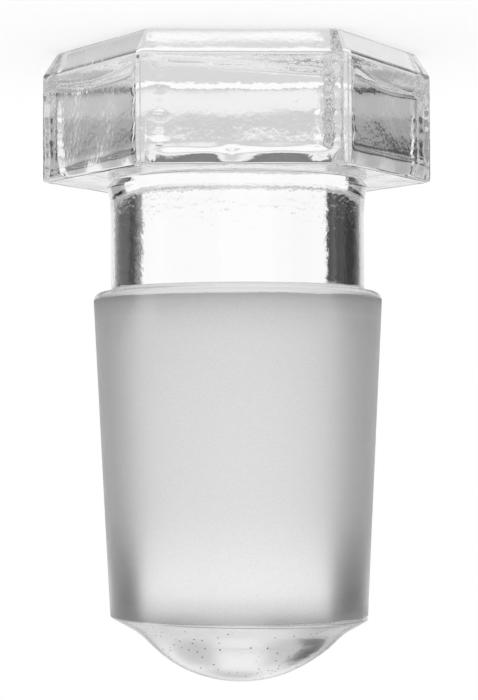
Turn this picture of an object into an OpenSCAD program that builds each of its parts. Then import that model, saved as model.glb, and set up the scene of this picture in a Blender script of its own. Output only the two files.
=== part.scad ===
// Solid pressed-glass stopper: a six-sided head, a round neck, a ground joint cone and a domed tip.
// It stands on the flat top of its head, with the tip upwards. Millimetres.

/* [Head] */
// Distance between two opposite flat sides
head_across_flats = 34.5; // [31:0.1:40]
// Height of the head, from its flat top to its underside
head_height = 13.2; // [9:0.1:20]
// Radius of the six upright edges
head_edge_radius = 1.2; // [0.9:0.1:3]
// Radius of the six corners of the flat top, seen from above
top_corner_radius = 0.3; // [0.25:0.05:1]
// How far the bevel round the flat top runs in from the sides
bevel_width = 1.5; // [0.8:0.1:1.6]
// How far the bevel runs down the sides
bevel_height = 2.4; // [1:0.1:4]
// Radius that blends the bevel into the sides
bevel_blend_radius = 1.2; // [0.4:0.1:2]
// Radius of the edge round the flat top
top_edge_radius = 0.4; // [0.1:0.05:0.4]
// Radius of the edge round the underside
under_edge_radius = 0.65; // [0.3:0.05:0.8]
// Depth of the shallow panel sunk into each side
panel_depth = 0.2; // [0.1:0.05:0.4]
// Width of the panel's sloping border
panel_slope = 0.7; // [0.4:0.1:1]
// Width of the frame above each panel, from the bevel's lower edge
panel_frame_above = 1.6; // [1:0.1:3]
// Width of the frame below each panel
panel_frame_below = 1.6; // [1:0.1:3]
// Width of the frame at both ends of each panel, from the upright edges' rounding
panel_frame_ends = 0.3; // [0.1:0.1:2]

/* [Neck] */
// Diameter of the neck
neck_diameter = 25.75; // [22:0.05:27]
// Length of the neck, from the head's underside to the shoulder
neck_length = 11.15; // [6:0.05:20]
// Height over which the neck flares out under the head
neck_flare_height = 2.9; // [1:0.1:4]
// Radius of the flare's hollow curve
neck_flare_radius = 4.9; // [4.5:0.1:10]
// Radius of the hollow curve between neck and shoulder
neck_foot_radius = 0.35; // [0.2:0.05:0.5]

/* [Ground joint] */
// Diameter at the large end of the ground cone
joint_diameter = 29.2; // [28.8:0.1:34.5]
// Length of the ground cone
joint_length = 32; // [20:0.5:45]
// Length over which the cone's diameter falls by one: 10 is a taper of 1 in 10
joint_taper = 10; // [9:0.5:14]
// Radius of the clear shoulder above the ground cone
shoulder_radius = 0.9; // [0.7:0.1:1.4]
// Radius of the edge below the ground cone
rim_radius = 0.35; // [0.1:0.05:0.6]

/* [Tip] */
// Distance that the tip stands out beyond the ground cone
tip_height = 6.4; // [5:0.1:8]
// Radius of the round tip
tip_radius = 13.3; // [12.5:0.1:16]
// Slope of the lip between the ground cone and the round tip, in degrees
lip_slope = 30; // [24:1:34]
// Radius of the hollow curve between the lip and the round tip
lip_blend_radius = 8; // [4:0.5:12]

/* [Hidden] */
$fn = 96;
sides = 6;
// A multiple of twelve puts facet corners where the head's edges run into its flat sides
head_facets = 36;
glass_colour = [0.93, 0.95, 0.95, 0.4];

// Heights, from the flat top of the head up to the tip
shoulder_z = head_height + neck_length;
joint_start_z = shoulder_z + shoulder_radius;
joint_end_z = joint_start_z + joint_length;
tip_z = joint_end_z + tip_height;

neck_r = neck_diameter / 2;
joint_r = joint_diameter / 2;
rim_r = joint_r - joint_length / joint_taper / 2;
shoulder_r = joint_r + shoulder_radius / joint_taper / 2;

head_apothem = head_across_flats / 2;

// Each panel's size where it meets its side
panel_length = 2 * ((head_apothem - head_edge_radius) * tan(180 / sides) - panel_frame_ends);
panel_width = head_height - bevel_height - panel_frame_above - panel_frame_below;
panel_middle_z = bevel_height + panel_frame_above + panel_width / 2;

// The hollow curve between lip and tip touches the lip's line and the tip's circle
tip_centre = [0, tip_z - tip_radius];
rim = [rim_r, joint_end_z];
lip_along = [-cos(lip_slope), sin(lip_slope)];
lip_out = [sin(lip_slope), cos(lip_slope)];
blend_start = rim + lip_blend_radius * lip_out - tip_centre;
blend_reach = blend_start * lip_along;
blend_run = -blend_reach - sqrt(blend_reach ^ 2 + (tip_radius + lip_blend_radius) ^ 2
                                - blend_start * blend_start);
lip_end = rim + blend_run * lip_along;
blend_centre = lip_end + lip_blend_radius * lip_out;
tip_touch = tip_centre + (blend_centre - tip_centre) * tip_radius / (tip_radius + lip_blend_radius);

// One end of a rounded corner: where the arc leaves the edge from corner to neighbour
function towards(corner, neighbour) = (neighbour - corner) / norm(neighbour - corner);
function half_angle(before, corner, after) =
    acos(towards(corner, before) * towards(corner, after)) / 2;
function arc_end(corner, neighbour, radius, half) =
    corner + towards(corner, neighbour) * radius / tan(half);
function arc_centre(before, corner, after, radius, half) =
    let (middle = towards(corner, before) + towards(corner, after))
    corner + middle / norm(middle) * radius / sin(half);

// A convex outline whose corners are true arcs; a radius of 0 leaves a corner sharp
module rounded_outline(corners, radii) {
    count = len(corners);
    polygon([for (i = [0:count - 1])
        let (before = corners[(i + count - 1) % count], after = corners[(i + 1) % count],
             half = half_angle(before, corners[i], after))
        each radii[i] == 0 ? [corners[i]]
            : [arc_end(corners[i], before, radii[i], half), arc_end(corners[i], after, radii[i], half)]]);
    for (i = [0:count - 1])
        if (radii[i] > 0)
            rounded_corner(corners[(i + count - 1) % count], corners[i], corners[(i + 1) % count], radii[i]);
}

// The slice of a circle that fills one corner of such an outline
module rounded_corner(before, corner, after, radius) {
    half = half_angle(before, corner, after);
    centre = arc_centre(before, corner, after, radius, half);
    intersection() {
        translate(centre) circle(radius);
        polygon([centre, arc_end(corner, before, radius, half), corner,
                 arc_end(corner, after, radius, half)]);
    }
}

// Section at a corner of the flat top, out from that corner's own axis: top and start of the bevel
module top_corner_section() {
    rounded_outline(
        [[0, 0], [top_corner_radius, 0], [top_corner_radius + bevel_width / 4, bevel_height / 4],
         [0, bevel_height / 4]],
        [0, top_edge_radius, 0, 0]);
}

// Section at an upright edge, out from that edge's own axis: end of the bevel, wall and underside
module edge_section() {
    rounded_outline(
        [[0, bevel_height / 2], [head_edge_radius - bevel_width / 2, bevel_height / 2],
         [head_edge_radius, bevel_height], [head_edge_radius, head_height], [0, head_height]],
        [0, 0, bevel_blend_radius, under_edge_radius, 0]);
}

// Six round posts that just touch the flat sides, each at its own distance in from them
module posts(inset) {
    for (i = [0:sides - 1])
        rotate([0, 0, i * 360 / sides]) translate([(head_apothem - inset) / cos(180 / sides), 0, 0])
            rotate_extrude() children();
}

// The head is stretched tight over its posts, so its sides, bevels and edges all meet smoothly
module head_blank() {
    hull() {
        posts(bevel_width + top_corner_radius) top_corner_section();
        posts(head_edge_radius) edge_section();
    }
}

// Cutter for one panel, straddling the side that faces +X
module panel_cutter() {
    translate([head_apothem + panel_depth, 0, panel_middle_z]) rotate([0, -90, 0])
        linear_extrude(2 * panel_depth, slices = 1, segments = 4,
                       scale = [(panel_width - 2 * panel_slope) / (panel_width + 2 * panel_slope),
                                (panel_length - 2 * panel_slope) / (panel_length + 2 * panel_slope)])
            square([panel_width + 2 * panel_slope, panel_length + 2 * panel_slope], center = true);
}

// The blank with a shallow panel sunk into each side
module head() {
    difference() {
        head_blank();
        for (i = [0:sides - 1])
            rotate([0, 0, (i + 0.5) * 360 / sides]) panel_cutter();
    }
}

// Half section of the neck, with its flare at the head and its hollow curve at the shoulder
module neck_section() {
    translate([0, head_height / 2]) square([neck_r, neck_length + head_height / 2]);
    difference() {
        translate([0, head_height - under_edge_radius / 2])
            square([neck_r + neck_flare_radius / 2, neck_flare_height + under_edge_radius / 2]);
        translate([neck_r + neck_flare_radius, head_height + neck_flare_height]) circle(neck_flare_radius);
    }
    difference() {
        translate([0, shoulder_z - neck_foot_radius]) square([neck_r + neck_foot_radius, neck_foot_radius]);
        translate([neck_r + neck_foot_radius, shoulder_z - neck_foot_radius]) circle(neck_foot_radius);
    }
}

// Half section of the ground cone, with its shoulder above and its lip below
module joint_section() {
    rounded_outline(
        [[0, shoulder_z], [shoulder_r, shoulder_z], rim, lip_end, [0, lip_end[1]]],
        [0, shoulder_radius, rim_radius, 0, 0]);
}

// Half section of the round tip and of the hollow curve that joins it to the lip
module tip_section() {
    intersection() {
        translate(tip_centre) circle(tip_radius);
        translate([0, joint_end_z]) square([joint_r, tip_height]);
    }
    difference() {
        polygon([[0, joint_end_z], lip_end, blend_centre, tip_touch]);
        translate(blend_centre) circle(lip_blend_radius);
    }
}

module stopper() {
    color(glass_colour) {
        head($fn = head_facets);
        rotate_extrude() {
            neck_section();
            joint_section();
            tip_section();
        }
    }
}

stopper();
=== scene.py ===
# %% [markdown]
# # A ground-glass stopper
#
# The object is one solid piece of pressed clear glass: a six-sided head with a bevel round its flat
# top, a round neck, a ground cone that seals a flask, and a domed tip. Outside the flask it stands
# on its head, and the camera is rolled half a turn so that the tip points down in the view.
#
# Clear glass has almost no colour of its own. What the eye sees is the surroundings, bent by the
# shape. So this lesson spends its effort on three things: a true shape with the small unevenness
# of pressed glass, the frosted cone, and a bright studio with dark cards at the sides.

# %% Load the frame
import math

import bpy
import numpy as np
from mathutils import Matrix, Vector


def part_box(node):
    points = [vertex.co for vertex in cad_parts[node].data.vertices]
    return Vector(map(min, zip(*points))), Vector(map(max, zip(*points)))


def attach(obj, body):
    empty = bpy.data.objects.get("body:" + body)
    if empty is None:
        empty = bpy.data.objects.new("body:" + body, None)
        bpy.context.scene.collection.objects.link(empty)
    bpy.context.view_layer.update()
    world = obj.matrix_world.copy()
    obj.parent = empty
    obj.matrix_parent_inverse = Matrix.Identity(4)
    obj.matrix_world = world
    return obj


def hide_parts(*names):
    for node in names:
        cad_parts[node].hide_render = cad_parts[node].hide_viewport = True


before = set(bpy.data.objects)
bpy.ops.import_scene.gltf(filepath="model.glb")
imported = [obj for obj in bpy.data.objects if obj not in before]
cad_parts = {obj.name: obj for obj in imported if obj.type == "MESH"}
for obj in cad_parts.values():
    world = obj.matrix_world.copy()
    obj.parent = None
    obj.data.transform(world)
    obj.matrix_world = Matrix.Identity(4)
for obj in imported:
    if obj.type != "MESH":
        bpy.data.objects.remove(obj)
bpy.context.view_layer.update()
low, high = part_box("stopper")
MM = 0.001
head_apothem = (high[1] - low[1]) / MM / 2
print(f"stopper: {2 * head_apothem:.1f} mm across flats, {(high[2] - low[2]) / MM:.1f} mm high")

# %% [markdown]
# ## One kind of section for the whole piece
#
# Cut the stopper square to its axis anywhere, and the section is a hexagon with rounded corners: on
# the head the corners are tight, and on the neck, cone and tip they are so round that the hexagon
# has become a circle. So the whole piece can be one grid of rings, each with the same number of
# points. A subdivision surface or a boolean of simple solids could give the shape too, but glass
# works as a lens and shows every uneven face, so here each point is worked out by formula. The
# points stand closer together over the corners, where the surface turns quickly.

# %% Directions round the piece
SIDES = 6
HALF_SECTOR = math.pi / SIDES
EDGE_RADIUS = 1.2
CORNER_STEPS, SIDE_STEPS = 20, 62


def corner_touch(apothem, corner):
    """Angle, from a corner, at which the rounded corner runs into the flat side."""
    centre = (apothem - corner) / math.cos(HALF_SECTOR)
    return math.atan2(corner * math.sin(HALF_SECTOR), centre + corner * math.cos(HALF_SECTOR))


touch = corner_touch(head_apothem, EDGE_RADIUS)
over_corner = np.linspace(-touch, touch, CORNER_STEPS + 1)[:-1]
side_ends = head_apothem * math.tan(HALF_SECTOR - touch)
along_side = np.linspace(-side_ends, side_ends, SIDE_STEPS + 1)[:-1]
over_side = np.arctan2(along_side, head_apothem) + HALF_SECTOR
sector = np.concatenate([over_corner, over_side])
angles = np.concatenate([sector + i * 2 * HALF_SECTOR for i in range(SIDES)])
print(f"{len(angles)} points a ring, {2 * side_ends:.2f} mm of flat on each side")


# %% Rounded hexagon
def section_radius(apothem, corner):
    """Distance from the axis to a hexagon with rounded corners, in each direction."""
    centre = (apothem - corner) / math.cos(HALF_SECTOR)
    away = (angles + HALF_SECTOR) % (2 * HALF_SECTOR) - HALF_SECTOR
    on_flat = apothem / np.cos(HALF_SECTOR - np.abs(away))
    under_root = np.maximum(corner**2 - (centre * np.sin(away)) ** 2, 0)
    on_corner = centre * np.cos(away) + np.sqrt(under_root)
    return np.where(np.abs(away) < corner_touch(apothem, corner), on_corner, on_flat)


print(f"the head is {2 * section_radius(head_apothem, EDGE_RADIUS).max():.2f} mm over its corners")

# %% [markdown]
# ## The outline
#
# The press mould gives the head and the neck their soft edges, and a wheel grinds the cone to a
# taper of 1 in 10 after the piece has cooled. The outline is drawn as a path of corners, each with
# its own rounding, from the middle of the flat top, over the bevel, down the side, under the head,
# along the neck and the cone, and out to the tip. A curve object turned round the axis could make
# the round parts, but not the head, and the joint between them would show in clear glass.

# %% Sizes of the outline
BEVEL_WIDTH, BEVEL_HEIGHT, BEVEL_BLEND = 1.5, 2.4, 1.2
TOP_CORNER_RADIUS, TOP_EDGE_RADIUS = 0.3, 0.6
HEAD_HEIGHT, UNDER_RADIUS = 13.2, 0.3
NECK_RADIUS, NECK_LENGTH = 12.875, 11.15
NECK_CORNER, NECK_FOOT = 0.12, 0.35
JOINT_RADIUS, JOINT_LENGTH, JOINT_TAPER = 14.6, 32.0, 10.0
SHOULDER_RADIUS, RIM_CORNER = 0.9, 0.35
TIP_RADIUS, TIP_HEIGHT = 13.3, 6.4
LIP_SLOPE, LIP_BLEND = math.radians(30), 8.0

shoulder_z = HEAD_HEIGHT + NECK_LENGTH
joint_start = shoulder_z + SHOULDER_RADIUS
joint_end = joint_start + JOINT_LENGTH
tip_z = joint_end + TIP_HEIGHT
rim_radius = JOINT_RADIUS - JOINT_LENGTH / JOINT_TAPER / 2
shoulder_edge = JOINT_RADIUS + SHOULDER_RADIUS / JOINT_TAPER / 2
print(f"ground cone from {joint_start:.2f} to {joint_end:.2f} mm, tip at {tip_z:.2f} mm")


# %% Points along straights and arcs
def straight(start, end, spacing):
    """Evenly spaced points from just after start up to end."""
    steps = max(1, round(float(np.linalg.norm(end - start)) / spacing))
    return [start + (end - start) * k / steps for k in range(1, steps + 1)]


def arc(start, centre, turn, steps):
    """Points along an arc, from just after start."""
    spoke = start - centre
    for k in range(1, steps + 1):
        c, s = math.cos(turn * k / steps), math.sin(turn * k / steps)
        yield centre + np.array([spoke[0] * c - spoke[1] * s, spoke[0] * s + spoke[1] * c])


# %% Path with rounded corners
ARC_STEP = math.radians(12)


def outline_path(corners):
    """A path through (distance, height, rounding, spacing of the straight that leads to it)."""
    path = [np.array(corners[0][:2])]
    for i in range(1, len(corners)):
        here, radius, spacing = np.array(corners[i][:2]), corners[i][2], corners[i][3]
        if radius == 0:
            path += straight(path[-1], here, spacing)
            continue
        back = (path[-1] - here) / np.linalg.norm(path[-1] - here)
        on = np.array(corners[i + 1][:2]) - here
        on = on / np.linalg.norm(on)
        half = math.acos(float(np.clip(back @ on, -1, 1))) / 2
        start = here + back * radius / math.tan(half)
        centre = here + (back + on) / np.linalg.norm(back + on) * radius / math.sin(half)
        path += straight(path[-1], start, spacing)
        turn = (math.pi - 2 * half) * float(np.sign(back[1] * on[0] - back[0] * on[1]))
        path += arc(start, centre, turn, max(3, round(abs(turn) / ARC_STEP)))
    return path


# %% [markdown]
# The tip is a drop of glass that was melted smooth: a dome with a hollow curve that leads out to
# the rim of the cone. The hollow curve touches both the sloping lip and the dome, so its centre
# lies one radius away from each. That gives one equation for the length of the lip.

# %% Curve of the lip and the tip
tip_centre = np.array([0, tip_z - TIP_RADIUS])
rim = np.array([rim_radius, joint_end])
lip_along = np.array([-math.cos(LIP_SLOPE), math.sin(LIP_SLOPE)])
lip_out = np.array([math.sin(LIP_SLOPE), math.cos(LIP_SLOPE)])
from_tip = rim + LIP_BLEND * lip_out - tip_centre
reach = float(from_tip @ lip_along)
run = -reach - math.sqrt(reach**2 + (TIP_RADIUS + LIP_BLEND) ** 2 - float(from_tip @ from_tip))
lip_end = rim + run * lip_along
blend_centre = lip_end + LIP_BLEND * lip_out
tip_touch = tip_centre + (blend_centre - tip_centre) * TIP_RADIUS / (TIP_RADIUS + LIP_BLEND)
blend_turn = math.atan2(*(tip_touch - blend_centre)[::-1]) - math.atan2(*(lip_end - blend_centre)[::-1])
lean = math.asin(tip_touch[0] / TIP_RADIUS)
print(f"the lip runs {run:.2f} mm, then meets the dome {tip_touch[0]:.2f} mm from the axis")

# %% Draw the outline
FIRST_RING, LAST_ANGLE = 0.2, 0.01
BLEND_STEPS, DOME_STEPS = 8, 26
path = outline_path([
    (FIRST_RING, 0.0, 0, 1.0),
    (head_apothem - BEVEL_WIDTH, 0.0, TOP_EDGE_RADIUS, 1.6),
    (head_apothem, BEVEL_HEIGHT, BEVEL_BLEND, 0.35),
    (head_apothem, HEAD_HEIGHT, UNDER_RADIUS, 0.25),
    (NECK_RADIUS, HEAD_HEIGHT, NECK_CORNER, 0.4),
    (NECK_RADIUS, shoulder_z, NECK_FOOT, 0.4),
    (shoulder_edge, shoulder_z, SHOULDER_RADIUS, 0.3),
    (rim_radius, joint_end, RIM_CORNER, 1.6),
    (lip_end[0], lip_end[1], 0, 0.4)])
path += arc(path[-1], blend_centre, blend_turn, BLEND_STEPS)
path += arc(path[-1], tip_centre, lean - LAST_ANGLE, DOME_STEPS)
path = np.array(path)
print(f"{len(path)} rings")

# %% [markdown]
# ## Rings
#
# Each place on the outline becomes a ring: the flat sides of the head keep the outline's distance
# from the axis, and the corner radius is tight on the head and grows under it into the full circle
# of the neck.

# %% Corner radius of each ring
UNDERSIDE = 0.1
top_inner = head_apothem - BEVEL_WIDTH
under_edge = head_apothem - UNDER_RADIUS
under_inner = NECK_RADIUS + 2 * NECK_CORNER


def corner_radius(distance, height):
    """Tight on the head, and growing under it into the full circle of the neck."""
    if height <= 0:
        return TOP_CORNER_RADIUS * distance / top_inner
    if height < BEVEL_HEIGHT:
        t = (distance - top_inner) / BEVEL_WIDTH
        return TOP_CORNER_RADIUS + (EDGE_RADIUS - TOP_CORNER_RADIUS) * t
    if height < HEAD_HEIGHT:
        return EDGE_RADIUS - (head_apothem - distance)
    if height < HEAD_HEIGHT + UNDERSIDE and distance > under_inner:
        t = (under_edge - distance) / (under_edge - under_inner)
        return (EDGE_RADIUS - UNDER_RADIUS) * (1 - t) + distance * t
    return distance


# %% Make the rings
SMALLEST_CORNER = 0.02
rings = []
for distance, height in path:
    corner = min(distance, max(SMALLEST_CORNER, corner_radius(distance, round(height, 9))))
    radius = section_radius(distance, corner)
    rings.append(np.stack([radius * np.cos(angles), radius * np.sin(angles),
                           np.full_like(angles, height)], axis=1))
grid = np.array(rings)
print(f"grid of {grid.shape[0]} by {grid.shape[1]} points")

# %% [markdown]
# ## Sunken sides
#
# The mould chills the edges of the head first, and the middle of each side then sinks a little as
# the glass behind it shrinks. What stays is a shallow panel with a soft frame, whose top edge runs
# a little differently on every side. A panel of less than two tenths of a millimetre is enough to
# bend the light and draw a line. It is pressed into the grid here, point by point, because a bump
# texture bends the light at the surface but leaves the far side of the glass flat.

# %% Which side each point belongs to
side_of = np.floor(angles / (2 * HALF_SECTOR)).astype(int) % SIDES
middle = (side_of + 0.5) * 2 * HALF_SECTOR
side_normal = np.stack([np.cos(middle), np.sin(middle), np.zeros_like(middle)], axis=1)
side_way = np.stack([-np.sin(middle), np.cos(middle), np.zeros_like(middle)], axis=1)
FRONT, BACK = 4, 1
print(f"the front side faces {math.degrees(middle[side_of == FRONT][0]):.0f} degrees")

# %% Sizes of the panels
PANEL_DEPTH, PANEL_MARGIN, FOOT_SLOPE = 0.16, 0.1, 0.5
# One entry a side: height of the top edge at both ends, its arch, and of the foot at both ends.
PANELS = np.array([
    (3.9, 4.3, 0.5, 11.6, 11.4),
    (4.2, 3.8, 0.3, 11.5, 11.7),
    (3.9, 4.4, 0.5, 11.4, 11.6),
    (4.3, 3.9, 0.7, 11.0, 11.2),
    (4.6, 3.3, -0.1, 11.4, 11.6),
    (3.9, 3.3, 0.8, 11.6, 12.2)])
USUAL_SLOPE, BACK_TOP_SLOPE, FRONT_END_SLOPE = 0.8, 3.0, 2.2
top_slope = np.where(side_of == BACK, BACK_TOP_SLOPE, USUAL_SLOPE)
end_slope = np.where(side_of == FRONT, FRONT_END_SLOPE, USUAL_SLOPE)
# One entry a wave in the two ends of a panel: its size, its pace down the side and its shift.
WAVY_ENDS = [(0.15, 2.3, 2), (0.1, 5.1, 1)]


# %% Depth of the panels
def soft_step(value, start, end):
    """Zero below start, one above end, and a smooth rise between them."""
    t = np.clip((value - start) / (end - start), 0, 1)
    return t * t * (3 - 2 * t)


def panel_depth(along, height):
    """How far a point is sunk into its side by the panel."""
    part = (along / side_ends + 1) / 2
    first, last, arch, first_foot, last_foot = PANELS[side_of].T
    top = first * (1 - part) + last * part + arch * 4 * part * (1 - part)
    foot = first_foot * (1 - part) + last_foot * part
    inside = soft_step(height, top - top_slope / 2, top + top_slope / 2)
    inside *= 1 - soft_step(height, foot, foot + FOOT_SLOPE)
    margin = side_ends - PANEL_MARGIN
    for size, pace, shift in WAVY_ENDS:
        margin = margin + size * np.sin(pace * height + shift * middle)
    return PANEL_DEPTH * inside * (1 - soft_step(np.abs(along), margin - end_slope, margin))


# %% [markdown]
# The lowest millimetre or two of each side draws in towards the neck, more in some places than in
# others, because the two halves of the mould meet there. This slope is what makes the row of dark
# shapes along the foot of the head: it bends the view down, to where the studio is dark. The front
# side is also a little crowned near its two ends.

# %% Draw in the lower edge
FOOT_START = 11.1
FOOT_DEPTH, FRONT_FOOT_DEPTH = 0.4, 0.55
FOOT_CURVE, FRONT_FOOT_CURVE = 2.0, 1.4
FOOT_EVEN, FOOT_PACE = 0.8, 0.9
FLAT_PLACE, FLAT_HALF, FLAT_SHARE = 1.3, 1.2, 0.9
FOOT_ENDS_BEFORE, FOOT_ENDS_AFTER = 1.2, 0.4
CROWN_WIDTH, CROWN_DEPTH, CROWN_CURVE = 1.1, 0.15, 1.3
foot_depth = np.where(side_of == FRONT, FRONT_FOOT_DEPTH, np.where(side_of == BACK, 0.0, FOOT_DEPTH))
foot_curve = np.where(side_of == FRONT, FRONT_FOOT_CURVE, FOOT_CURVE)


def foot_draw(along, height):
    """How far the lower edge of a side is drawn in."""
    down = np.clip((height - FOOT_START) / (HEAD_HEIGHT - FOOT_START), 0, 1) ** foot_curve
    uneven = FOOT_EVEN + (1 - FOOT_EVEN) * np.sin(FOOT_PACE * along + 5 * middle)
    flat = FLAT_SHARE * (side_of == FRONT) * np.exp(-((along - FLAT_PLACE) / FLAT_HALF) ** 2)
    ends = soft_step(np.abs(along), side_ends - FOOT_ENDS_BEFORE, side_ends + FOOT_ENDS_AFTER)
    return foot_depth * down * uneven * (1 - flat) * (1 - ends)


def crown(along, height):
    """How far the two ends of the front side fall away."""
    outwards = np.clip((np.abs(along) - side_ends + CROWN_WIDTH) / CROWN_WIDTH, 0, 1) ** CROWN_CURVE
    below_bevel = soft_step(height, BEVEL_HEIGHT, BEVEL_HEIGHT + USUAL_SLOPE)
    return CROWN_DEPTH * (side_of == FRONT) * outwards * below_bevel


deepest = 0.0
for ring in grid:
    if BEVEL_HEIGHT < ring[0, 2] < HEAD_HEIGHT:
        along, height = (ring * side_way).sum(axis=1), ring[:, 2]
        depth = panel_depth(along, height) + foot_draw(along, height) + crown(along, height)
        ring -= side_normal * depth[:, None]
        deepest = max(deepest, float(depth.max()))
print(f"the sides sink by up to {deepest:.2f} mm")

# %% [markdown]
# ## Ground by hand
#
# The cone is ground on a turning wheel, and the end of it is cut by eye. So the rim at the tip
# leans a little, and the tip isn't quite in the middle. Where the neck leaves the head, glass has run
# out into a small web on both sides. These are moves of a few tenths of a millimetre, made on the
# whole grid at once.

# %% Lean the rim, shift the tip and web the neck
RIM_LEAN, LEAN_LENGTH, LEAN_FADE = 0.22, 12.0, 2.0
TIP_SHIFT, SHIFT_BEFORE, SHIFT_AFTER = 0.2, 1.0, 3.0
WEB_REACH, WEB_HEIGHT, WEB_START = 0.6, 5.0, 0.2
WEB_FALL, WEB_NARROW = 4, 6
height = grid[:, :, 2]
web = np.clip(1 - (height - HEAD_HEIGHT) / WEB_HEIGHT, 0, 1) ** WEB_FALL
web = web * (height > HEAD_HEIGHT + WEB_START)
grid[:, :, :2] *= 1 + (WEB_REACH / NECK_RADIUS * web * np.abs(np.cos(angles)) ** WEB_NARROW)[:, :, None]
near_rim = soft_step(height, joint_end - LEAN_LENGTH, joint_end)
near_rim = near_rim * (1 - soft_step(height, joint_end + LEAN_FADE, tip_z - 1))
grid[:, :, 2] += -RIM_LEAN * grid[:, :, 0] / rim_radius * near_rim
grid[:, :, 0] -= TIP_SHIFT * soft_step(grid[:, :, 2], joint_end - SHIFT_BEFORE, joint_end + SHIFT_AFTER)
print(f"the rim leans by {math.degrees(math.atan(RIM_LEAN / rim_radius)):.1f} degrees")

# %% [markdown]
# ## Waves
#
# Fire polishing after the press leaves soft waves of a few hundredths of a millimetre. They are
# too long for a bump texture to look right in glass that is seen through, so they are in the
# points. A sum of sine waves in random directions is an easy way to make them, and it repeats the
# same way each time. The points only move inwards, so the piece keeps its size, and the ground
# cone stays true because the wheel has taken its waves away.


# %% Which way is out
before, ahead = np.roll(grid, 1, axis=1), np.roll(grid, -1, axis=1)
below, above = np.concatenate([grid[:1], grid[:-1]]), np.concatenate([grid[1:], grid[-1:]])
normals = np.cross(ahead - before, above - below)
normals /= np.maximum(np.linalg.norm(normals, axis=2, keepdims=True), 1e-9)
print(f"{normals.shape[0] * normals.shape[1]} normals")


# %% Sum of sine waves
def waves(points, lengths, seed, count=14):
    """Smooth random height at each point, about -1 to 1, from waves of the given lengths."""
    rng = np.random.default_rng(seed)
    height = np.zeros(points.shape[:-1])
    for length in rng.uniform(*lengths, count):
        way = rng.normal(size=3)
        way *= 2 * math.pi / length / np.linalg.norm(way)
        height += np.sin(points @ way + rng.uniform(0, 2 * math.pi))
    return height / math.sqrt(2 * count)


# %% Sink the waves into the points
LONG, SHORT = (5.0, 12.0), (1.6, 3.2)
FADE, HEAD_OVERLAP, NECK_FADE, TIP_START, TOP_FADE = 1.0, 0.2, 0.5, 0.5, 1.5
height = grid[:, :, 2]
on_head = 1 - soft_step(height, HEAD_HEIGHT - HEAD_OVERLAP, HEAD_HEIGHT + FADE)
on_neck = soft_step(height, HEAD_HEIGHT, HEAD_HEIGHT + FADE)
on_neck = on_neck * (1 - soft_step(height, shoulder_z - NECK_FADE, shoulder_z))
on_tip = soft_step(height, joint_end + TIP_START, joint_end + TIP_START + FADE)
# One entry a zone: where it is, depth of its long and its short waves, and two seeds.
ZONES = [(on_head, 0.030, 0.008, 3, 4), (on_neck, 0.014, 0.006, 5, 6), (on_tip, 0.030, 0.006, 7, 8)]
sunk = np.zeros_like(height)
for zone, long_depth, short_depth, long_seed, short_seed in ZONES:
    sunk += zone * (long_depth * (1 + waves(grid, LONG, long_seed) / 2)
                    + short_depth * (1 + waves(grid, SHORT, short_seed) / 2))
sunk *= soft_step(height, 0.0, TOP_FADE)
grid = grid - normals * np.clip(sunk, 0, None)[:, :, None]
print(f"waves up to {sunk.max():.3f} mm deep")

# %% [markdown]
# ## The mesh
#
# The grid is closed at both ends with a fan of triangles, so that the piece is one sealed skin:
# light has to enter and leave glass the same number of times. Smooth shading then lets the light
# bend evenly across each face. The object takes the place of the plain solid in the frame.

# %% Build the mesh
count_rings, count_round = grid.shape[:2]
TIP_RISE = 0.0005
base_point, tip_point = [0, 0, 0], [0, 0, float(grid[-1, :, 2].max()) + TIP_RISE]
verts = np.concatenate([grid.reshape(-1, 3), [base_point, tip_point]]) * MM
around = np.arange(count_round)
after = (around + 1) % count_round
starts = np.arange(count_rings - 1)[:, None] * count_round
ends = starts + count_round
quads = np.stack([starts + around, starts + after, ends + after, ends + around], axis=2)
faces = [tuple(q) for q in quads.reshape(-1, 4).tolist()]
base, tip = len(verts) - 2, len(verts) - 1
last_ring = (count_rings - 1) * count_round
faces += [(base, int(j), int(i)) for i, j in zip(around, after)]
faces += [(tip, last_ring + int(i), last_ring + int(j)) for i, j in zip(around, after)]
mesh = bpy.data.meshes.new("stopper_glass")
mesh.from_pydata([tuple(v) for v in verts.tolist()], [], faces)
mesh.validate()
mesh.shade_smooth()
triangles = sum(len(p.vertices) - 2 for p in mesh.polygons)
print(f"{len(verts)} points, {triangles} triangles")

# %% Put the glass in place of the solid
stopper = bpy.data.objects.new("stopper_glass", mesh)
bpy.context.scene.collection.objects.link(stopper)
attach(stopper, "root")
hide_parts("stopper")

# %% [markdown]
# ## Writing shaders as sums
#
# A material is a small calculation for each place on the surface. Written as nodes and links it is
# hard to read, so the first class lets a socket take part in ordinary Python sums, and the second
# adds every other node from its type, its settings and its inputs.


# %% Sockets that can be added and multiplied
class Wire:
    """A shader socket that Python's own operators work on."""

    def __init__(self, nodes, socket):
        self.nodes, self.socket = nodes, socket

    def math(self, operation, other, swap=False):
        """A Math node on this socket and another socket or number."""
        pair = (other, self) if swap else (self, other)
        return self.nodes.add("ShaderNodeMath", {"operation": operation}, {0: pair[0], 1: pair[1]})

    def __add__(self, other):
        return self.math("ADD", other)

    def __radd__(self, other):
        return self.math("ADD", other, swap=True)

    def __sub__(self, other):
        return self.math("SUBTRACT", other)

    def __rsub__(self, other):
        return self.math("SUBTRACT", other, swap=True)

    def __mul__(self, other):
        return self.math("MULTIPLY", other)

    def __rmul__(self, other):
        return self.math("MULTIPLY", other, swap=True)

    def __truediv__(self, other):
        return self.math("DIVIDE", other)

    def __rtruediv__(self, other):
        return self.math("DIVIDE", other, swap=True)


# %% Adding nodes
def grey(level):
    """A grey as the four numbers of a colour socket."""
    return (level, level, level, 1)


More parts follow.
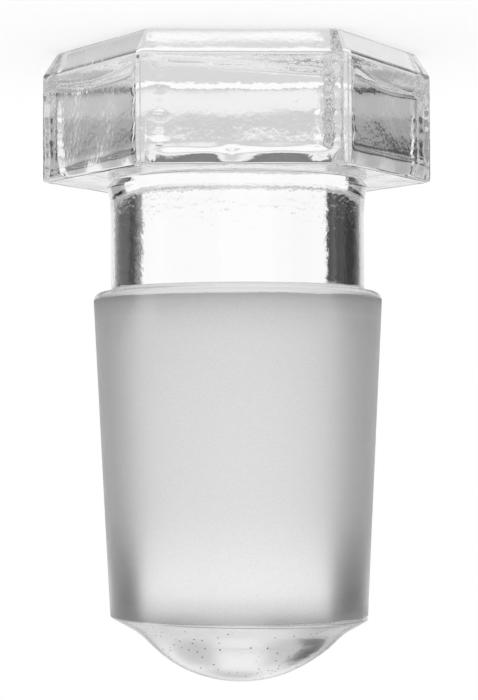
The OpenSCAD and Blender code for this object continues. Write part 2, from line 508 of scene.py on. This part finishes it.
class Nodes:
    """Adds nodes to one tree; add() takes a type, its settings and its inputs."""

    def __init__(self, tree):
        self.tree = tree
        tree.nodes.clear()

    def add(self, kind, settings=None, inputs=None, output=0):
        """A node with its settings made first and then its inputs, which are values or wires."""
        node = self.tree.nodes.new(kind)
        for name, value in (settings or {}).items():
            setattr(node, name, value)
        for name, value in (inputs or {}).items():
            if isinstance(value, Wire):
                self.tree.links.new(value.socket, node.inputs[name])
            else:
                node.inputs[name].default_value = value
        return Wire(self, node.outputs[output]) if len(node.outputs) else None

    def mix(self, first, second, share, blend="MIX"):
        """A colour that goes from the first to the second as share goes from 0 to 1."""
        # A Mix node has a socket for each data type: 6 and 7 are its colours, and output 2 the result.
        return self.add("ShaderNodeMix", {"data_type": "RGBA", "blend_type": blend},
                        {"Factor": share, 6: first, 7: second}, output=2)

    def ramp(self, value, stops):
        """Greys that follow a value through (place, level) stops."""
        wire = self.add("ShaderNodeValToRGB", {}, {0: value})
        elements = wire.socket.node.color_ramp.elements
        while len(elements) < len(stops):
            elements.new(0.5)
        for element, (place, level) in zip(elements, stops):
            element.position, element.color = place, grey(level)
        return wire

    def between(self, value, start, end):
        """Zero below start and one above end."""
        return self.add("ShaderNodeMapRange", {"clamp": True, "interpolation_type": "SMOOTHSTEP"},
                        {"Value": value, "From Min": start, "From Max": end,
                         "To Min": 0.0, "To Max": 1.0})

    def noise(self, place, scale, detail, roughness):
        """Cloudy noise at a place, about 0 to 1."""
        return self.add("ShaderNodeTexNoise", {},
                        {"Vector": place, "Scale": scale, "Detail": detail, "Roughness": roughness})


# %% [markdown]
# ## Clear and ground glass
#
# One material covers the whole piece, because it is one piece of glass: only the roughness changes.
# The wheel leaves the cone with a fine matt skin that scatters the light on its way in and out,
# finer towards the tip. Its colour is painted darker at both rims, which is painted shade. The
# line where it starts is sharp and not quite even. Everything else stays clear, with a faint
# orange peel from the fire polishing, and the tip has small pits and specks. Two materials could
# meet at that line instead, but then it would have to follow the mesh.

# %% Sizes of the finish
GROUND_START, GROUND_STOP = (-0.02, 0.04), (-0.35, -0.2)
GROUND_WANDER, WANDER_SCALE, WANDER_DETAIL, WANDER_ROUGH = 0.25, 250.0, 2.0, 0.6
GROUND_ROUGHNESS, END_ROUGHNESS, FINER_LENGTH, FINE_LENGTH = 0.5, 0.3, 13.0, 2.0
# Greys along the cone from shoulder to rim: near white in between, and painted shade at both rims.
GROUND_TONES_WITH_PAINTED_RIM_SHADE = [(0.0, 0.38), (0.02, 0.62), (0.06, 0.9), (0.12, 0.98),
                (0.9, 0.98), (0.95, 0.85), (0.975, 0.6), (1.0, 0.4)]
GRAIN_SCALE, GRAIN_SHARE, GRAIN_TONE, GRAIN_FROM, GRAIN_TO = 6000.0, 0.12, 0.2, 0.35, 0.65
SPECK_SIZE, SPECK_SCALE, SPECK_TONE, SPECK_START, SPECK_FULL = 0.19, 1250.0, 0.02, 0.3, 0.5
PLAIN_DETAIL, PLAIN_ROUGH = 1.0, 0.5
NECK_PEEL_START, NECK_PEEL_FULL = 1.5, 2.5
PEEL_SCALE, PEEL_DEPTH = 2000.0, 0.000009
GLASS_INDEX = 1.5


# %% Material of the glass
def ground_share(nodes, place, height):
    """One on the ground cone and zero on clear glass."""
    wander = nodes.noise(place, WANDER_SCALE, WANDER_DETAIL, WANDER_ROUGH)
    ground = nodes.between(height + GROUND_WANDER * wander,
                           joint_start + GROUND_START[0], joint_start + GROUND_START[1])
    return ground * (1 - nodes.between(height, joint_end + GROUND_STOP[0], joint_end + GROUND_STOP[1]))


def glass_colour(nodes, place, height, ground):
    """White where clear, ground tones with painted shade at both rims, and dark specks on the tip."""
    # This ramp paints shade onto both rims of the cone.
    tone = nodes.ramp((height - joint_start) / (joint_end - joint_start), GROUND_TONES_WITH_PAINTED_RIM_SHADE)
    grain = nodes.noise(place, GRAIN_SCALE, PLAIN_DETAIL, PLAIN_ROUGH)
    colour = nodes.mix(grey(1), tone, ground)
    grains = ground * nodes.between(grain, GRAIN_FROM, GRAIN_TO) * GRAIN_SHARE
    colour = nodes.mix(colour, grey(GRAIN_TONE), grains)
    spots = nodes.add("ShaderNodeTexVoronoi", {}, {"Vector": place, "Scale": SPECK_SCALE})
    speck = 1 - nodes.between(spots, SPECK_SIZE / 2, SPECK_SIZE)
    speck = speck * nodes.between(height, joint_end + SPECK_START, joint_end + SPECK_FULL)
    return nodes.mix(colour, grey(SPECK_TONE), speck)


def pressed_glass():
    """One glass for the whole piece, ground where the cone is."""
    material = bpy.data.materials.new("pressed_glass")
    material.use_nodes = True
    nodes = Nodes(material.node_tree)
    place = nodes.add("ShaderNodeTexCoord", output="Object")
    height = nodes.add("ShaderNodeSeparateXYZ", {}, {0: place}, output="Z") * (1 / MM)
    ground = ground_share(nodes, place, height)
    finer = nodes.between(height, joint_end - FINER_LENGTH, joint_end - FINE_LENGTH)
    rough = ground * (GROUND_ROUGHNESS + (END_ROUGHNESS - GROUND_ROUGHNESS) * finer)
    on_neck = nodes.between(height, HEAD_HEIGHT + NECK_PEEL_START, HEAD_HEIGHT + NECK_PEEL_FULL)
    on_neck = on_neck * (1 - ground)
    peel = nodes.noise(place, PEEL_SCALE, PLAIN_DETAIL, PLAIN_ROUGH)
    normal = nodes.add("ShaderNodeBump", {},
                       {"Strength": 1.0, "Distance": PEEL_DEPTH,
                        "Height": peel * (1 - ground) * (1 + on_neck)})
    shader = nodes.add("ShaderNodeBsdfPrincipled", {},
                       {"Base Color": glass_colour(nodes, place, height, ground), "Roughness": rough,
                        "IOR": GLASS_INDEX, "Transmission Weight": 1.0, "Normal": normal})
    nodes.add("ShaderNodeOutputMaterial", {}, {"Surface": shader})
    return material


stopper.data.materials.append(pressed_glass())
print(f"{len(stopper.active_material.node_tree.nodes)} nodes in {stopper.active_material.name}")

# %% [markdown]
# ## The camera
#
# The camera stands a quarter of a metre away, a little above the middle, and looks very slightly
# down, with a long lens so that the cone stays nearly straight. It is turned a little to one side
# of the front face, which shows the back corner of the head through its right end, and it is
# rolled half a turn.

# %% Camera
CAMERA_DISTANCE, CAMERA_HEIGHT, CAMERA_ASIDE = 240.0, 37.4, 0.10
CAMERA_TURN, CAMERA_TILT, CAMERA_ROLL = 0.040, 0.030, -0.004
CAMERA_LENS, CAMERA_SENSOR = 121.73, 36.0
CLIP_START, CLIP_END = 0.01, 20
scene = bpy.context.scene
camera_data = bpy.data.cameras.new("camera")
camera = bpy.data.objects.new("camera", camera_data)
scene.collection.objects.link(camera)
scene.camera = camera
camera_data.sensor_width, camera_data.lens = CAMERA_SENSOR, CAMERA_LENS
camera_data.clip_start, camera_data.clip_end = CLIP_START, CLIP_END
forward = Vector((-math.sin(CAMERA_TURN) * math.cos(CAMERA_TILT),
                  math.cos(CAMERA_TURN) * math.cos(CAMERA_TILT), -math.sin(CAMERA_TILT)))
up = Vector((0, 0, -1))
up = (up - forward * up.dot(forward)).normalized()
right = forward.cross(up)
up, right = (up * math.cos(CAMERA_ROLL) - right * math.sin(CAMERA_ROLL),
             right * math.cos(CAMERA_ROLL) + up * math.sin(CAMERA_ROLL))
stand = Vector((math.sin(CAMERA_TURN) * CAMERA_DISTANCE,
                -math.cos(CAMERA_TURN) * CAMERA_DISTANCE, CAMERA_HEIGHT))
stand = (stand + right * CAMERA_ASIDE) * MM
camera.matrix_world = Matrix(((right.x, up.x, -forward.x, stand.x), (right.y, up.y, -forward.y, stand.y),
                              (right.z, up.z, -forward.z, stand.z), (0, 0, 0, 1)))
print(f"camera {stand.length:.3f} m away")

# %% [markdown]
# ## The studio
#
# Clear glass is lit from behind, against a bright sheet, and its edges are drawn by dark cards that
# stand at both sides just outside the view. The studio here is the world: a white shell whose
# level depends only on the direction of a ray, given as its turn to the side and its tilt up or
# down. Cards made of planes would do the same, but they would also show in views from the side. A
# light path inside the head can turn many times before it gets out, so the limit on the number of
# turns is raised: with the usual limit those paths end early and leave black patches.

# %% Turn and tilt of a ray
LIGHT_TURNS = 16
scene.cycles.max_bounces = scene.cycles.transmission_bounces = scene.cycles.glossy_bounces = LIGHT_TURNS
scene.view_settings.view_transform = "Standard"
world = bpy.data.worlds.new("studio")
scene.world = world
world.use_nodes = True
nodes = Nodes(world.node_tree)
ray = nodes.add("ShaderNodeTexCoord", output="Generated")
ray_x, ray_y, ray_z = (nodes.add("ShaderNodeSeparateXYZ", {}, {0: ray}, output=i) for i in range(3))


def share(degrees):
    """From -90 ... 90 degrees to 0 ... 1."""
    return degrees / 180 + 0.5


TO_DEGREES = 180 / math.pi
turn = share(nodes.add("ShaderNodeMath", {"operation": "ARCTANGENT"}, {0: -1.0 * ray_x / ray_y}) * TO_DEGREES)
tilt = share(nodes.add("ShaderNodeMath", {"operation": "ARCSINE"}, {0: ray_z}) * TO_DEGREES)
print(f"light may turn {LIGHT_TURNS} times")

# %% Upright cards at the sides
# Each stop is a turn in degrees and the level there.
CARDS = [(-90, 0.42), (-83, 0.42), (-78, 0.8), (-72, 0.8), (-67, 0.35), (-62, 0.2), (-56, 0.08), (-53, 0.0),
         (-42, 0.0), (-37, 0.05), (-35.5, 0.1), (-34, 0.35), (-31, 0.2), (-30, 0.3), (-28.5, 1.0),
         (37, 1.0), (38, 0.3), (40, 0.2), (41.5, 0.1), (42.5, 0.0), (46.5, 0.0), (48.5, 0.06), (60, 0.1),
         (67, 0.3), (72, 0.8), (78, 0.8), (90, 0.42)]
CARD_HEIGHT = [(-90, 0.0), (-33, 0.0), (-27, 0.5), (-7, 0.5), (-6.2, 1.0), (5, 1.0), (7, 0.5), (11, 0.5),
               (17, 0.1), (30, 0.0)]
cards = nodes.ramp(turn, [(share(a), level) for a, level in CARDS])
card_height = nodes.ramp(tilt, [(share(a), level) for a, level in CARD_HEIGHT])
studio = nodes.mix(grey(1), cards, card_height)
print(f"{len(CARDS)} stops in the upright cards")

# %% Streaks of the shell
# Each stop is a tilt in degrees and the level there.
SHELL = [(-90, 1.0), (-46, 1.0), (-15, 0.95), (-10, 0.9), (-9, 0.86), (-8, 0.68), (-7, 0.62), (-5.8, 1.0),
         (5.5, 1.0), (8, 0.7), (11, 0.7), (14, 0.9), (20, 0.8), (27, 0.95), (34, 0.9), (38, 0.7),
         (50, 1.0), (70, 0.8), (90, 0.9)]
studio = nodes.mix(studio, nodes.ramp(tilt, [(share(a), level) for a, level in SHELL]), 1.0, "MULTIPLY")
print(f"{len(SHELL)} stops in the shell")


# %% Small dark cards
def card(turn_from, turn_to, tilt_from, tilt_to, soft, depth):
    """A dark card between two turns and two tilts, with a soft edge, in degrees."""
    edge = soft / 180
    inside = nodes.between(turn, share(turn_from) - edge, share(turn_from))
    inside = inside * (1 - nodes.between(turn, share(turn_to), share(turn_to) + edge))
    inside = inside * nodes.between(tilt, share(tilt_from) - edge, share(tilt_from))
    inside = inside * (1 - nodes.between(tilt, share(tilt_to), share(tilt_to) + edge))
    return 1 - depth * inside


# One entry a card: its turns, its tilts, how soft its edge is and how dark it is.
SMALL_CARDS = [(-80, -47, -54, -33, 4, 1.0), (50, 80, -50, -33, 4, 0.8), (-4, 16, -52, -41, 4, 0.5),
               (-28, 28, -20, -12.5, 2, 0.8), (14, 29, -35, -24, 4, 0.45), (-24, -9, -35, -24, 4, 0.4),
               (-38, -23, -41, -29, 3, 1.0), (26, 46, 33, 49, 3, 0.95), (28, 90, -75, -54, 3, 0.8),
               (-41, -30, -5.6, -2.5, 0.8, 0.75), (-20, 20, 15.5, 21, 2, 0.3)]
for numbers in SMALL_CARDS:
    studio = nodes.mix(studio, card(*numbers), 1.0, "MULTIPLY")
print(f"{len(SMALL_CARDS)} small dark cards")

# %% [markdown]
# Behind the camera the room is plain and about half as bright, as it is in a real studio, with one
# dark upright strip to one side. A ray that comes straight from the camera sees white, so that the
# background is white. The glass doesn't see that plain white but the studio: with nothing dark
# round it, clear glass almost disappears.

# %% Room behind the camera and white background
ROOM_SHARE, ROOM_LEVEL, ROOM_FROM, ROOM_TO = 0.45, 0.55, -0.4, 0.1
DARK_SHARE, DARK_LEVEL, DARK_FROM, DARK_TO, DARK_SOFT = 0.8, 0.15, 0.3, 0.6, 0.05
dark_side = (nodes.between(ray_x, DARK_FROM, DARK_FROM + DARK_SOFT)
             * (1 - nodes.between(ray_x, DARK_TO, DARK_TO + DARK_SOFT)))
room = (ROOM_SHARE + (DARK_SHARE - ROOM_SHARE) * dark_side) * (1 - nodes.between(ray_y, ROOM_FROM, ROOM_TO))
studio = nodes.mix(studio, nodes.mix(grey(ROOM_LEVEL), grey(DARK_LEVEL), dark_side), room)
seen = nodes.mix(studio, grey(1), nodes.add("ShaderNodeLightPath", output="Is Camera Ray"))
shell = nodes.add("ShaderNodeBackground", {}, {"Color": seen, "Strength": 1.0})
nodes.add("ShaderNodeOutputWorld", {}, {"Surface": shell})
print(f"{len(world.node_tree.nodes)} nodes in the studio")

# %% [markdown]
# ## Floor and lamp
#
# The stopper stands on white paper. The paper is partly matt, so that it takes a soft shadow, and
# partly glows for the camera, so that it stays white. Away from the stopper the glow takes over,
# and the paper runs into the background without a line. The glass doesn't see the paper: what
# shows through it is the studio with its cards. One large soft lamp above lights the paper.

# %% Floor
FLOOR_GAP, FLOOR_HALF = 0.02, 1500.0
FLOOR_WHITE, FLOOR_GLOW, GLOW_FROM, GLOW_TO = 0.95, 0.75, 25.0, 90.0
corners = [(x * FLOOR_HALF * MM, y * FLOOR_HALF * MM, -FLOOR_GAP * MM)
           for x, y in ((-1, -1), (1, -1), (1, 1), (-1, 1))]
floor_mesh = bpy.data.meshes.new("floor")
floor_mesh.from_pydata(corners, [], [(0, 1, 2, 3)])
floor = bpy.data.objects.new("floor", floor_mesh)
scene.collection.objects.link(floor)
floor.visible_transmission = floor.visible_glossy = False
paper = bpy.data.materials.new("white_paper")
paper.use_nodes = True
nodes = Nodes(paper.node_tree)
place = nodes.add("ShaderNodeTexCoord", output="Object")
away = nodes.add("ShaderNodeVectorMath", {"operation": "LENGTH"}, {0: place}, output="Value") * (1 / MM)
glow_share = FLOOR_GLOW + (1 - FLOOR_GLOW) * nodes.between(away, GLOW_FROM, GLOW_TO)
matt = nodes.add("ShaderNodeBsdfDiffuse", {}, {"Color": grey(FLOOR_WHITE)})
glow = nodes.add("ShaderNodeEmission", {}, {"Color": grey(1), "Strength": 1.0})
from_camera = nodes.add("ShaderNodeLightPath", output="Is Camera Ray")
paper_mix = nodes.add("ShaderNodeMixShader", {}, {0: from_camera * glow_share, 1: matt, 2: glow})
nodes.add("ShaderNodeOutputMaterial", {}, {"Surface": paper_mix})
floor_mesh.materials.append(paper)
print(f"floor of {2 * FLOOR_HALF * MM:.0f} m")

# %% Lamp
LAMP_POWER, LAMP_SIZE, LAMP_HEIGHT = 1.2, 600.0, 500.0
lamp_data = bpy.data.lights.new("softbox", "AREA")
lamp_data.energy, lamp_data.size = LAMP_POWER, LAMP_SIZE * MM
lamp = bpy.data.objects.new("softbox", lamp_data)
lamp.location = (0, 0, LAMP_HEIGHT * MM)
lamp.visible_transmission = lamp.visible_glossy = False
scene.collection.objects.link(lamp)
print(f"soft lamp {LAMP_HEIGHT * MM:.1f} m up")
